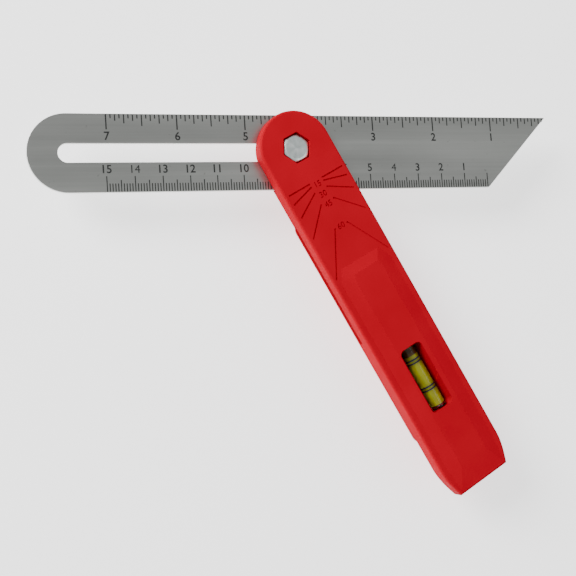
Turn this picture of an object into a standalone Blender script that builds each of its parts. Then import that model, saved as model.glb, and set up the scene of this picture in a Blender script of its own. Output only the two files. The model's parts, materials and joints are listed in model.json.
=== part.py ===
"""Sliding T-bevel with a ruled blade and a spirit level in its handle.

Frame: +X along the blade towards its pointed end, +Y across the blade towards the
inch edge, +Z out of the tool's front face.  The origin is the middle of the clamp
bolt's head face, so the pivot axis is the Z axis.  The handle leans away from the
blade's perpendicular by HANDLE_LEAN; its parts are modelled upright, with local +Y
running up the handle towards its round head, and hang on one rotated empty.
"""
import math

import bmesh
import bpy
from mathutils import Matrix, Vector

# ---------------------------------------------------------------- driving sizes, metres
CLEARANCE = 0.0003             # gap left between neighbouring pieces

BLADE_LENGTH = 0.2054
BLADE_WIDTH = 0.028
BLADE_THICKNESS = 0.0015
BLADE_TIP_X = 0.1093           # pointed end, measured from the pivot axis
BLADE_DROP = 0.0006            # the blade hangs this far towards -Y on the bolt
SLOT_WIDTH = 0.0068
SLOT_START_FROM_END = 0.0105   # metal left between the round end and the slot
SLOT_INNER_END_X = 0.010       # the slot's hidden end, past the pivot axis

HANDLE_LEAN = math.radians(27.3)
HANDLE_WIDTH = 0.0280
HANDLE_FOOT_Y = -0.1427        # square end of the handle, from the pivot
TAPER_START_Y = -0.1305
FOOT_HALF_WIDTH = 0.0113
BACK_INSET = 0.0007            # the back shell is this much narrower on each side
FRONT_FACE_Z = 0.0005          # the bolt head sits this far below the front face
FRONT_CHEEK = 0.0052
CHEEK_GAP = 0.0021             # slot between the cheeks, which the blade turns in
BACK_CHEEK = 0.0023
CHEEK_GAP_END_Y = -0.075       # below this the handle is closed and holds the vial
FRONT_EDGE_RADIUS = 0.0008
BACK_EDGE_RADIUS = 0.0020

PANEL_HEIGHT = 0.0008          # raised panel on the front
PANEL_SINK = 0.0004            # how far its lower part is buried in the shell
PANEL_TOP_Y = -0.0508
PANEL_FOOT_Y = -0.1335
PANEL_HALF_WIDTH = 0.0062
PANEL_CORNER_X = 0.0008        # its top corners are cut by this much across
PANEL_CORNER_Y = 0.0030        # and by this much along
SLOPE_TOP_Y = -0.0467
SLOPE_TOP_HALF_WIDTH = 0.0084
SLOPE_SHOULDER_Y = -0.0520
SLOPE_HALF_WIDTH = 0.0114
SLOPE_FOOT_Y = -0.1413
SLOPE_FOOT_HALF_WIDTH = 0.0104

GRIP_HEIGHT = 0.0010           # raised grip on the back
GRIP_TOP_Y = -0.0235
GRIP_FOOT_Y = -0.1200
GRIP_CORNER = 0.004
GRIP_EDGE_RADIUS = 0.0032

WINDOW_WIDTH = 0.0097
WINDOW_MIDDLE_X = -0.0005      # the window sits a little left of the handle's middle
WINDOW_TOP_Y = -0.0845
WINDOW_FOOT_Y = -0.1110
WINDOW_CORNER = 0.0020

VIAL_DIAMETER = 0.006
VIAL_LENGTH = 0.032
VIAL_CENTRE_Y = -0.0955
VIAL_AXIS_Z = -0.0037
VIAL_WALL = 0.0007
VIAL_END_THICKNESS = 0.0015
VIAL_FOOT_EDGE = 0.001         # size of the rounded edge at the closed end
PLUG_FLANGE = 0.0012
PLUG_SPIGOT = 0.0018
BUBBLE_LENGTH = 0.0072
BUBBLE_DIAMETER = 0.0024
BUBBLE_RISE = 0.0005           # the bubble floats this far in front of the vial's axis

BOLT_DIAMETER = 0.0050
BOLT_HEAD_FLATS = 0.0093
BOLT_HEAD_CORNER_RADIUS = 0.0051
BOLT_HEAD_HEIGHT = 0.0022
BOLT_HEAD_CHAMFER = 0.0004
BOLT_END_CHAMFER = 0.0006
BOLT_END_Z = -0.0178
HEX_RECESS_FLATS = 0.0102
HEX_TURN = math.radians(30)    # hexagon corners point to the handle's sides

FRICTION_WASHER_DIAMETER = 0.014
FRICTION_WASHER_THICKNESS = 0.0005
FRICTION_WASHER_GAP = 0.0002

FLAT_WASHER_DIAMETER = 0.012
FLAT_WASHER_THICKNESS = 0.0012

NUT_HUB_HEIGHT = 0.0055
NUT_HUB_RADIUS = 0.0060
NUT_HUB_TOP_RADIUS = 0.0048
WING_SPAN = 0.0264
WING_HEIGHT = 0.0095
WING_THICKNESS = 0.0020
WING_EAR_RADIUS = 0.0042
WING_FOOT_X = 0.0055           # where a wing's outline meets the hub, low down
WING_VALLEY_HEIGHT = 0.0034    # and where it meets the hub, high up
WING_LIFT = 0.0012             # wings start this far above the hub's seat
WING_EDGE_CHAMFER = 0.0004

SCREW_DIAMETER = 0.0026
SCREW_HEAD_DIAMETER = 0.0044
SCREW_HEAD_HEIGHT = 0.0014
SCREW_HEAD_SINK = 0.0004       # head below the grip's surface
SCREW_HEAD_EDGE_RISE = 0.0005  # size of the head's sloped edge, along the screw
SCREW_HEAD_EDGE_WIDTH = 0.0006
SCREW_POINT_LENGTH = 0.001
SCREW_TIP_Z = -0.0016
SCREW_PLACES = ((-0.0080, -0.0780), (0.0080, -0.0780), (-0.0080, -0.1130), (0.0080, -0.1130))
CROSS_LENGTH = 0.0026
CROSS_WIDTH = 0.0006
CROSS_DEPTH = 0.0008

# ---------------------------------------------------------------- heights that follow
CHEEK_GAP_FRONT_Z = FRONT_FACE_Z - FRONT_CHEEK
CHEEK_GAP_BACK_Z = CHEEK_GAP_FRONT_Z - CHEEK_GAP
BACK_FACE_Z = CHEEK_GAP_BACK_Z - BACK_CHEEK
GRIP_FACE_Z = BACK_FACE_Z - GRIP_HEIGHT
PANEL_FACE_Z = FRONT_FACE_Z + PANEL_HEIGHT
PARTING_Z = (CHEEK_GAP_FRONT_Z + CHEEK_GAP_BACK_Z) / 2
BLADE_FRONT_Z = PARTING_Z + BLADE_THICKNESS / 2
BLADE_BACK_Z = PARTING_Z - BLADE_THICKNESS / 2
FRICTION_WASHER_FRONT_Z = BLADE_BACK_Z - FRICTION_WASHER_GAP
FRICTION_WASHER_BACK_Z = FRICTION_WASHER_FRONT_Z - FRICTION_WASHER_THICKNESS
FLAT_WASHER_FRONT_Z = BACK_FACE_Z - CLEARANCE
FLAT_WASHER_BACK_Z = FLAT_WASHER_FRONT_Z - FLAT_WASHER_THICKNESS
NUT_SEAT_Z = FLAT_WASHER_BACK_Z - CLEARANCE

ROUND_SEGMENTS = 32
SMALL_SEGMENTS = 20
HEAD_BLANK_SEGMENTS = 48
SLOT_END_STEPS = 12
CUT_MARGIN = 0.002             # how far a cutter runs past the face it opens


# ---------------------------------------------------------------- scene helpers
def clear_scene():
    for item in list(bpy.data.objects):
        bpy.data.objects.remove(item, do_unlink=True)


def new_collection(name):
    collection = bpy.data.collections.new(name)
    bpy.context.scene.collection.children.link(collection)
    return collection


def new_material(name, colour, roughness, metallic=0.0, transmission=0.0):
    material = bpy.data.materials.new(name)
    material.use_nodes = True
    shader = material.node_tree.nodes["Principled BSDF"]
    shader.inputs["Base Color"].default_value = (*colour, 1.0)
    shader.inputs["Roughness"].default_value = roughness
    shader.inputs["Metallic"].default_value = metallic
    shader.inputs["Transmission Weight"].default_value = transmission
    return material


def add_part(name, mesh, material, parent=None, place=(0, 0, 0)):
    part = bpy.data.objects.new(name, mesh)
    part.data.materials.append(material)
    parts.objects.link(part)
    part.parent = parent
    part.location = place
    return part


def add_cutter(name, mesh, parent=None, place=(0, 0, 0)):
    cutter = bpy.data.objects.new(name, mesh)
    cutters.objects.link(cutter)
    cutter.parent = parent
    cutter.location = place
    cutter.hide_render = True
    cutter.display_type = 'WIRE'
    return cutter


def combine(part, tool, operation):
    modifier = part.modifiers.new(f"{operation.lower()}_{tool.name}", 'BOOLEAN')
    modifier.operation = operation
    modifier.object = tool
    modifier.solver = 'EXACT'


def shade_round(mesh, angle=30):
    mesh.shade_smooth()
    mesh.set_sharp_from_angle(angle=math.radians(angle))


# ---------------------------------------------------------------- mesh helpers
def plate_mesh(name, outline, low_z, high_z):
    """A flat outline as a filled 2D curve, extruded to its thickness and made a mesh."""
    curve = bpy.data.curves.new(name, 'CURVE')
    curve.dimensions = '2D'
    curve.fill_mode = 'BOTH'
    curve.extrude = (high_z - low_z) / 2
    spline = curve.splines.new('POLY')
    spline.points.add(len(outline) - 1)
    for point, (x, y) in zip(spline.points, outline):
        point.co = (x, y, 0, 1)
    spline.use_cyclic_u = True
    drawing = bpy.data.objects.new(name, curve)
    bpy.context.scene.collection.objects.link(drawing)
    graph = bpy.context.evaluated_depsgraph_get()
    mesh = bpy.data.meshes.new_from_object(drawing.evaluated_get(graph))
    bpy.data.objects.remove(drawing, do_unlink=True)
    shape = bmesh.new()
    shape.from_mesh(mesh)
    bmesh.ops.remove_doubles(shape, verts=shape.verts, dist=0.000001)
    bmesh.ops.translate(shape, verts=shape.verts, vec=(0, 0, (high_z + low_z) / 2))
    bmesh.ops.dissolve_limit(shape, angle_limit=math.radians(0.5), verts=shape.verts, edges=shape.edges)
    bmesh.ops.recalc_face_normals(shape, faces=shape.faces)
    shape.to_mesh(mesh)
    shape.free()
    return mesh


def mark_edges_at(mesh, z):
    """Give full bevel weight to the edges that lie in the plane at height z."""
    weights = mesh.attributes.new("bevel_weight_edge", 'FLOAT', 'EDGE')
    for edge in mesh.edges:
        ends = [mesh.vertices[index].co.z for index in edge.vertices]
        if all(abs(end - z) < 0.00001 for end in ends):
            weights.data[edge.index].value = 1.0


def round_marked_edges(part, radius, segments):
    modifier = part.modifiers.new("rounded_edges", 'BEVEL')
    modifier.limit_method = 'WEIGHT'
    modifier.width = radius
    modifier.segments = segments


def bevel_all_edges(part, width, segments=1, angle=40):
    modifier = part.modifiers.new("softened_edges", 'BEVEL')
    modifier.limit_method = 'ANGLE'
    modifier.angle_limit = math.radians(angle)
    modifier.width = width
    modifier.segments = segments


def box_mesh(name, low, high):
    shape = bmesh.new()
    bmesh.ops.create_cube(shape, size=1.0)
    size = [b - a for a, b in zip(low, high)]
    middle = [(a + b) / 2 for a, b in zip(low, high)]
    bmesh.ops.scale(shape, verts=shape.verts, vec=size)
    bmesh.ops.translate(shape, verts=shape.verts, vec=middle)
    return finish_mesh(name, shape)


def cylinder_mesh(name, radius, low_z, high_z, segments=ROUND_SEGMENTS, turn=0.0, top_radius=None):
    shape = bmesh.new()
    upper = radius if top_radius is None else top_radius
    bmesh.ops.create_cone(shape, cap_ends=True, segments=segments, radius1=radius, radius2=upper,
                          depth=high_z - low_z)
    bmesh.ops.rotate(shape, verts=shape.verts, matrix=Matrix.Rotation(turn, 3, 'Z'))
    bmesh.ops.translate(shape, verts=shape.verts, vec=(0, 0, (low_z + high_z) / 2))
    return finish_mesh(name, shape)


def rod_along_y(name, radius, low_y, high_y, segments=ROUND_SEGMENTS):
    """A cylinder lying along local Y on the vial's axis height."""
    shape = bmesh.new()
    bmesh.ops.create_cone(shape, cap_ends=True, segments=segments, radius1=radius, radius2=radius,
                          depth=high_y - low_y)
    bmesh.ops.rotate(shape, verts=shape.verts, matrix=Matrix.Rotation(math.radians(90), 3, 'X'))
    bmesh.ops.translate(shape, verts=shape.verts, vec=(0, (low_y + high_y) / 2, VIAL_AXIS_Z))
    return finish_mesh(name, shape)


def finish_mesh(name, shape):
    bmesh.ops.recalc_face_normals(shape, faces=shape.faces)
    mesh = bpy.data.meshes.new(name)
    shape.to_mesh(mesh)
    shape.free()
    return mesh


def turned_mesh(name, profile, axis='Z', segments=ROUND_SEGMENTS):
    """Turn a profile of (radius, height) points, listed from top to bottom, about an axis."""
    shape = bmesh.new()
    points = [shape.verts.new((radius, 0, height)) for radius, height in profile]
    for first, second in zip(points, points[1:]):
        shape.edges.new((first, second))
    mesh = bpy.data.meshes.new(name)
    shape.to_mesh(mesh)
    shape.free()
    blank = bpy.data.objects.new(name, mesh)
    bpy.context.scene.collection.objects.link(blank)
    screw = blank.modifiers.new("turn", 'SCREW')
    screw.steps = segments
    screw.render_steps = segments
    screw.use_merge_vertices = True
    screw.merge_threshold = 0.000001
    screw.use_normal_calculate = True
    graph = bpy.context.evaluated_depsgraph_get()
    turned = bpy.data.meshes.new_from_object(blank.evaluated_get(graph))
    bpy.data.objects.remove(blank, do_unlink=True)
    shape = bmesh.new()
    shape.from_mesh(turned)
    bmesh.ops.remove_doubles(shape, verts=shape.verts, dist=0.000001)
    if axis == 'Y':
        bmesh.ops.rotate(shape, verts=shape.verts, matrix=Matrix.Rotation(math.radians(-90), 3, 'X'))
        bmesh.ops.translate(shape, verts=shape.verts, vec=(0, 0, VIAL_AXIS_Z))
    return finish_mesh(name, shape)


# ---------------------------------------------------------------- outlines
def arc(centre, radius, start_degrees, end_degrees, steps):
    points = []
    for step in range(steps + 1):
        angle = math.radians(start_degrees + (end_degrees - start_degrees) * step / steps)
        points.append((centre[0] + radius * math.cos(angle), centre[1] + radius * math.sin(angle)))
    return points


def rounded_box(low_x, low_y, high_x, high_y, radius, steps=4):
    points = arc((high_x - radius, low_y + radius), radius, -90, 0, steps)
    points += arc((high_x - radius, high_y - radius), radius, 0, 90, steps)
    points += arc((low_x + radius, high_y - radius), radius, 90, 180, steps)
    points += arc((low_x + radius, low_y + radius), radius, 180, 270, steps)
    return points


def handle_outline(inset=0.0):
    """Round head, straight sides, and a short curved taper to the square foot."""
    half = HANDLE_WIDTH / 2 - inset
    foot_half = FOOT_HALF_WIDTH - inset
    taper_steps = 5
    right_side = []
    for step in range(taper_steps + 1):
        share = step / taper_steps
        x = foot_half + (half - foot_half) * math.sin(share * math.pi / 2)
        y = HANDLE_FOOT_Y + (TAPER_START_Y - HANDLE_FOOT_Y) * share
        right_side.append((x, y))
    left_side = [(-x, y) for x, y in reversed(right_side)]
    return right_side + arc((0, 0), half, 0, 180, ROUND_SEGMENTS) + left_side


def blade_outline():
    """Round end on the left, 45 degree point on the right with its tip on the inch edge."""
    half = BLADE_WIDTH / 2
    round_centre = (BLADE_TIP_X - BLADE_LENGTH + half, -BLADE_DROP)
    mitre_corner = (BLADE_TIP_X - BLADE_WIDTH, -BLADE_DROP - half)
    point = (BLADE_TIP_X, -BLADE_DROP + half)
    return [mitre_corner, point] + arc(round_centre, half, 90, 270, ROUND_SEGMENTS)


def slot_outline():
    half = SLOT_WIDTH / 2
    left = BLADE_TIP_X - BLADE_LENGTH + SLOT_START_FROM_END + half
    right = SLOT_INNER_END_X - half
    left_end = arc((left, -BLADE_DROP), half, 90, 270, SLOT_END_STEPS)
    return left_end + arc((right, -BLADE_DROP), half, -90, 90, SLOT_END_STEPS)


def slope_outline():
    """Foot of the raised panel's slopes, narrower at the top corners and at the end."""
    corners = [(SLOPE_FOOT_HALF_WIDTH, SLOPE_FOOT_Y), (SLOPE_HALF_WIDTH, TAPER_START_Y),
               (SLOPE_HALF_WIDTH, SLOPE_SHOULDER_Y), (SLOPE_TOP_HALF_WIDTH, SLOPE_TOP_Y)]
    return corners + [(-x, y) for x, y in reversed(corners)]


def panel_outline():
    """The flat on top of the slopes, with one point for each point of the slopes' foot."""
    corners = [(PANEL_HALF_WIDTH, PANEL_FOOT_Y), (PANEL_HALF_WIDTH, TAPER_START_Y),
               (PANEL_HALF_WIDTH, PANEL_TOP_Y - PANEL_CORNER_Y),
               (PANEL_HALF_WIDTH - PANEL_CORNER_X, PANEL_TOP_Y)]
    return corners + [(-x, y) for x, y in reversed(corners)]


def panel_mesh():
    """A loft between the slopes' foot and the flat; the part below the face is straight."""
    shape = bmesh.new()
    levels = [(slope_outline(), FRONT_FACE_Z - PANEL_SINK), (slope_outline(), FRONT_FACE_Z),
              (panel_outline(), PANEL_FACE_Z)]
    rings = [[shape.verts.new((x, y, z)) for x, y in outline] for outline, z in levels]
    count = len(rings[0])
    for lower, upper in zip(rings, rings[1:]):
        for index in range(count):
            after = (index + 1) % count
            shape.faces.new((lower[index], lower[after], upper[after], upper[index]))
    shape.faces.new(list(reversed(rings[0])))
    shape.faces.new(rings[-1])
    return finish_mesh("front_panel", shape)


# ---------------------------------------------------------------- handle shells
def cut_shared_openings(shell, name):
    """The openings that both shells share: blade gap, bolt hole and vial pocket."""
    half = HANDLE_WIDTH / 2 + CUT_MARGIN
    gap = box_mesh(f"{name}_blade_gap", (-half, CHEEK_GAP_END_Y, CHEEK_GAP_BACK_Z),
                   (half, half, CHEEK_GAP_FRONT_Z))
    combine(shell, add_cutter(f"{name}_blade_gap", gap, handle_frame), 'DIFFERENCE')
    hole = cylinder_mesh(f"{name}_bolt_hole", BOLT_DIAMETER / 2 + CLEARANCE,
                         GRIP_FACE_Z - CUT_MARGIN, PANEL_FACE_Z + CUT_MARGIN, SMALL_SEGMENTS)
    combine(shell, add_cutter(f"{name}_bolt_hole", hole, handle_frame), 'DIFFERENCE')
    pocket = rod_along_y(f"{name}_vial_pocket", VIAL_DIAMETER / 2 + CLEARANCE,
                         VIAL_CENTRE_Y - VIAL_LENGTH / 2 - CLEARANCE,
                         VIAL_CENTRE_Y + VIAL_LENGTH / 2 + CLEARANCE)
    combine(shell, add_cutter(f"{name}_vial_pocket", pocket, handle_frame), 'DIFFERENCE')


def make_front_shell():
    mesh = plate_mesh("front_shell", handle_outline(), PARTING_Z + CLEARANCE / 2, FRONT_FACE_Z)
    mark_edges_at(mesh, FRONT_FACE_Z)
    shell = add_part("front_shell", mesh, red_plastic, handle_frame)
    round_marked_edges(shell, FRONT_EDGE_RADIUS, 2)
    combine(shell, add_cutter("front_panel", panel_mesh(), handle_frame), 'UNION')
    cut_shared_openings(shell, "front")
    window = plate_mesh("window",
                        rounded_box(WINDOW_MIDDLE_X - WINDOW_WIDTH / 2, WINDOW_FOOT_Y,
                                    WINDOW_MIDDLE_X + WINDOW_WIDTH / 2, WINDOW_TOP_Y, WINDOW_CORNER),
                        PARTING_Z - CUT_MARGIN, PANEL_FACE_Z + CUT_MARGIN)
    combine(shell, add_cutter("window", window, handle_frame), 'DIFFERENCE')
    recess = cylinder_mesh("hex_recess", HEX_RECESS_FLATS / math.sqrt(3),
                           -BOLT_HEAD_HEIGHT - CLEARANCE, FRONT_FACE_Z + CUT_MARGIN, 6, HEX_TURN)
    combine(shell, add_cutter("hex_recess", recess, handle_frame), 'DIFFERENCE')
    for index, (x, y) in enumerate(SCREW_PLACES, start=1):
        hole = cylinder_mesh(f"screw_pilot_{index}", SCREW_DIAMETER / 2 + CLEARANCE,
                             PARTING_Z - CUT_MARGIN, SCREW_TIP_Z + CLEARANCE, SMALL_SEGMENTS)
        combine(shell, add_cutter(f"screw_pilot_{index}", hole, handle_frame, (x, y, 0)), 'DIFFERENCE')


def make_back_shell():
    joint_z = PARTING_Z - CLEARANCE / 2
    mesh = plate_mesh("back_shell", handle_outline(BACK_INSET), BACK_FACE_Z, joint_z)
    mark_edges_at(mesh, BACK_FACE_Z)
    shell = add_part("back_shell", mesh, red_plastic, handle_frame)
    round_marked_edges(shell, BACK_EDGE_RADIUS, 3)
    half = HANDLE_WIDTH / 2
    grip_mesh = plate_mesh("back_grip", rounded_box(-half, GRIP_FOOT_Y, half, GRIP_TOP_Y, GRIP_CORNER),
                           GRIP_FACE_Z, joint_z)
    mark_edges_at(grip_mesh, GRIP_FACE_Z)
    grip = add_cutter("back_grip", grip_mesh, handle_frame)
    round_marked_edges(grip, GRIP_EDGE_RADIUS, 2)
    combine(shell, grip, 'UNION')
    cut_shared_openings(shell, "back")
    washer_seat = cylinder_mesh("friction_washer_seat", FRICTION_WASHER_DIAMETER / 2 + CLEARANCE,
                                FRICTION_WASHER_BACK_Z - FRICTION_WASHER_GAP,
                                CHEEK_GAP_FRONT_Z - CLEARANCE)
    combine(shell, add_cutter("friction_washer_seat", washer_seat, handle_frame), 'DIFFERENCE')
    for index, (x, y) in enumerate(SCREW_PLACES, start=1):
        hole = cylinder_mesh(f"screw_hole_{index}", SCREW_DIAMETER / 2 + CLEARANCE,
                             GRIP_FACE_Z - CUT_MARGIN, PARTING_Z + CUT_MARGIN, SMALL_SEGMENTS)
        combine(shell, add_cutter(f"screw_hole_{index}", hole, handle_frame, (x, y, 0)), 'DIFFERENCE')
        seat_z = GRIP_FACE_Z + SCREW_HEAD_SINK + SCREW_HEAD_HEIGHT + CLEARANCE
        seat = cylinder_mesh(f"screw_seat_{index}", SCREW_HEAD_DIAMETER / 2 + CLEARANCE,
                             GRIP_FACE_Z - CUT_MARGIN, seat_z, SMALL_SEGMENTS)
        combine(shell, add_cutter(f"screw_seat_{index}", seat, handle_frame, (x, y, 0)), 'DIFFERENCE')


def make_case_screws():
    """Four pan head screws that go in from the back and hold the two shells together."""
    head_z = GRIP_FACE_Z + SCREW_HEAD_SINK
    neck_z = head_z + SCREW_HEAD_HEIGHT
    radius = SCREW_DIAMETER / 2
    head_radius = SCREW_HEAD_DIAMETER / 2
    profile = [(0, SCREW_TIP_Z), (radius * 0.5, SCREW_TIP_Z), (radius, SCREW_TIP_Z - SCREW_POINT_LENGTH),
               (radius, neck_z), (head_radius, neck_z), (head_radius, head_z + SCREW_HEAD_EDGE_RISE),
               (head_radius - SCREW_HEAD_EDGE_WIDTH, head_z), (0, head_z)]
    mesh = turned_mesh("case_screw", profile, segments=SMALL_SEGMENTS)
    for index, (x, y) in enumerate(SCREW_PLACES, start=1):
        screw = add_part(f"case_screw_{index}", mesh.copy(), zinc_steel, handle_frame, (x, y, 0))
        for turn in (0, 90):
            bar = box_mesh(f"screw_cross_{index}_{turn}",
                           (-CROSS_LENGTH / 2, -CROSS_WIDTH / 2, head_z - CUT_MARGIN),
                           (CROSS_LENGTH / 2, CROSS_WIDTH / 2, head_z + CROSS_DEPTH))
            cutter = add_cutter(f"screw_cross_{index}_{turn}", bar, handle_frame, (x, y, 0))
            cutter.rotation_euler.z = math.radians(turn)
            combine(screw, cutter, 'DIFFERENCE')
        shade_round(screw.data)


# ---------------------------------------------------------------- level vial
def make_vial():
    """Clear tube with a round closed end at the foot and a flanged plug at the head end."""
    foot = VIAL_CENTRE_Y - VIAL_LENGTH / 2
    head = VIAL_CENTRE_Y + VIAL_LENGTH / 2
    mouth = head - PLUG_FLANGE - CLEARANCE
    radius = VIAL_DIAMETER / 2
    bore = radius - VIAL_WALL
    floor = foot + VIAL_END_THICKNESS
    tube_profile = [(bore, floor), (bore, mouth), (radius, mouth), (radius, foot + VIAL_FOOT_EDGE),
                    (radius - VIAL_FOOT_EDGE * 0.3, foot + VIAL_FOOT_EDGE * 0.3),
                    (radius - VIAL_FOOT_EDGE, foot), (0, foot)]
    tube = turned_mesh("vial_tube", [(0, floor)] + tube_profile, 'Y')
    shade_round(tube)
    add_part("vial_tube", tube, clear_plastic, handle_frame)

    spigot = bore - CLEARANCE
    spigot_end = mouth - PLUG_SPIGOT
    plug_profile = [(0, head), (radius, head), (radius, head - PLUG_FLANGE), (spigot, head - PLUG_FLANGE),
                    (spigot, spigot_end), (0, spigot_end)]
    plug = turned_mesh("vial_plug", plug_profile, 'Y')
    shade_round(plug)
    add_part("vial_plug", plug, clear_plastic, handle_frame)

    liquid_low = floor + CLEARANCE
    liquid_high = spigot_end - CLEARANCE
    liquid_mesh = rod_along_y("vial_liquid", bore - CLEARANCE, liquid_low, liquid_high)
    liquid = add_part("vial_liquid", liquid_mesh, green_liquid, handle_frame)
    half_channel = BUBBLE_DIAMETER / 2 + CLEARANCE
    bubble_z = VIAL_AXIS_Z + BUBBLE_RISE
    channel = box_mesh("bubble_channel", (-half_channel, liquid_low - CUT_MARGIN, bubble_z - half_channel),
                       (half_channel, liquid_high + CUT_MARGIN, bubble_z + radius))
    combine(liquid, add_cutter("bubble_channel", channel, handle_frame), 'DIFFERENCE')

    bubble_radius = BUBBLE_DIAMETER / 2
    cap_centre = BUBBLE_LENGTH / 2 - bubble_radius
    steps = 6
    cap = [(bubble_radius * math.sin(math.pi / 2 * step / steps),
            cap_centre + bubble_radius * math.cos(math.pi / 2 * step / steps)) for step in range(steps + 1)]
    profile = cap + [(radius_here, -height) for radius_here, height in reversed(cap)]
    bubble_mesh = turned_mesh("vial_bubble", profile, segments=SMALL_SEGMENTS)
    for vertex in bubble_mesh.vertices:
        vertex.co = Vector((vertex.co.x, vertex.co.z, -vertex.co.y))
    bubble = add_part("vial_bubble", bubble_mesh, air_bubble, handle_frame,
                      (0, liquid_high - BUBBLE_LENGTH / 2, bubble_z))
    shade_round(bubble.data, 60)


# ---------------------------------------------------------------- blade and clamp
def make_blade():
    mesh = plate_mesh("blade", blade_outline(), BLADE_BACK_Z, BLADE_FRONT_Z)
    blade = add_part("blade", mesh, brushed_steel)
    slot = plate_mesh("blade_slot", slot_outline(), BLADE_BACK_Z - CUT_MARGIN, BLADE_FRONT_Z + CUT_MARGIN)
    combine(blade, add_cutter("blade_slot", slot), 'DIFFERENCE')


def washer_mesh(name, outer, inner, back_z, front_z):
    profile = [(inner, front_z), (outer, front_z), (outer, back_z), (inner, back_z), (inner, front_z)]
    return turned_mesh(name, profile)


def make_washers():
    bore = BOLT_DIAMETER / 2 + CLEARANCE
    friction = washer_mesh("friction_washer", FRICTION_WASHER_DIAMETER / 2, bore,
                           FRICTION_WASHER_BACK_Z, FRICTION_WASHER_FRONT_Z)
    add_part("friction_washer", friction, fibre)
    flat = washer_mesh("flat_washer", FLAT_WASHER_DIAMETER / 2, bore, FLAT_WASHER_BACK_Z, FLAT_WASHER_FRONT_Z)
    add_part("flat_washer", flat, zinc_steel)


def make_clamp_bolt():
    """Hexagon head that sits in the handle's recess, with corners towards its sides."""
    head_mesh = cylinder_mesh("clamp_bolt", BOLT_HEAD_FLATS / math.sqrt(3), -BOLT_HEAD_HEIGHT, 0, 6, HEX_TURN)
    bolt = add_part("clamp_bolt", head_mesh, zinc_steel, handle_frame)
    face_radius = BOLT_HEAD_FLATS / 2 - BOLT_HEAD_CHAMFER
    cutter_end_z = -BOLT_HEAD_HEIGHT - CUT_MARGIN
    blank = turned_mesh("head_blank",
                        [(0, 0), (face_radius, 0), (BOLT_HEAD_CORNER_RADIUS, -BOLT_HEAD_CHAMFER),
                         (BOLT_HEAD_CORNER_RADIUS, cutter_end_z), (0, cutter_end_z)],
                        segments=HEAD_BLANK_SEGMENTS)
    combine(bolt, add_cutter("head_blank", blank, handle_frame), 'INTERSECT')
    radius = BOLT_DIAMETER / 2
    shank = turned_mesh("bolt_shank",
                        [(0, -BOLT_HEAD_HEIGHT / 2), (radius, -BOLT_HEAD_HEIGHT / 2),
                         (radius, BOLT_END_Z + BOLT_END_CHAMFER), (radius - BOLT_END_CHAMFER, BOLT_END_Z),
                         (0, BOLT_END_Z)], segments=SMALL_SEGMENTS)
    combine(bolt, add_cutter("bolt_shank", shank, handle_frame), 'UNION')


def wing_outline():
    """Side view of both wings: a flat base and two raised rounded ears."""
    ear_middle = (WING_SPAN / 2 - WING_EAR_RADIUS, WING_HEIGHT - WING_EAR_RADIUS)
    right = [(WING_FOOT_X, 0)] + arc(ear_middle, WING_EAR_RADIUS, -50, 120, 10)
    right.append((NUT_HUB_TOP_RADIUS, WING_VALLEY_HEIGHT))
    return right + [(-x, y) for x, y in reversed(right)]


def make_wing_nut():
    """Hub and two wings, which stand along the handle when the clamp is tight."""
    bore = BOLT_DIAMETER / 2 + CLEARANCE
    hub_mesh = cylinder_mesh("wing_nut", NUT_HUB_TOP_RADIUS, NUT_SEAT_Z - NUT_HUB_HEIGHT, NUT_SEAT_Z,
                             top_radius=NUT_HUB_RADIUS)
    nut = add_part("wing_nut", hub_mesh, zinc_steel, handle_frame)
    wings_mesh = plate_mesh("wings", wing_outline(), -WING_THICKNESS / 2, WING_THICKNESS / 2)
    wings = add_cutter("wings", wings_mesh, handle_frame, (0, 0, NUT_SEAT_Z - WING_LIFT))
    wings.rotation_euler = (math.radians(-90), 0, math.radians(90))
    bevel_all_edges(wings, WING_EDGE_CHAMFER)
    combine(nut, wings, 'UNION')
    thread = cylinder_mesh("nut_bore", bore, NUT_SEAT_Z - WING_HEIGHT - CUT_MARGIN - WING_LIFT,
                           NUT_SEAT_Z + CUT_MARGIN, SMALL_SEGMENTS)
    combine(nut, add_cutter("nut_bore", thread, handle_frame), 'DIFFERENCE')


# ---------------------------------------------------------------- the tool
clear_scene()
parts = new_collection("sliding_t_bevel")
cutters = new_collection("cutters")

red_plastic = new_material("red_plastic", (0.50, 0.013, 0.016), 0.42)
brushed_steel = new_material("brushed_steel", (0.34, 0.35, 0.34), 0.32, metallic=1.0)
zinc_steel = new_material("zinc_steel", (0.55, 0.62, 0.60), 0.30, metallic=1.0)
fibre = new_material("fibre", (0.12, 0.10, 0.08), 0.8)
clear_plastic = new_material("clear_plastic", (0.92, 0.95, 0.88), 0.05, transmission=0.9)
green_liquid = new_material("green_liquid", (0.40, 0.42, 0.01), 0.05, transmission=0.6)
air_bubble = new_material("air_bubble", (0.85, 0.90, 0.60), 0.02, transmission=0.9)

handle_frame = bpy.data.objects.new("handle_frame", None)
parts.objects.link(handle_frame)
handle_frame.rotation_euler.z = HANDLE_LEAN

make_front_shell()
make_back_shell()
make_case_screws()
make_vial()
make_blade()
make_washers()
make_clamp_bolt()
make_wing_nut()
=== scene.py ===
import json
import math

import bmesh
import bpy
from mathutils import Matrix, Vector


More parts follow.
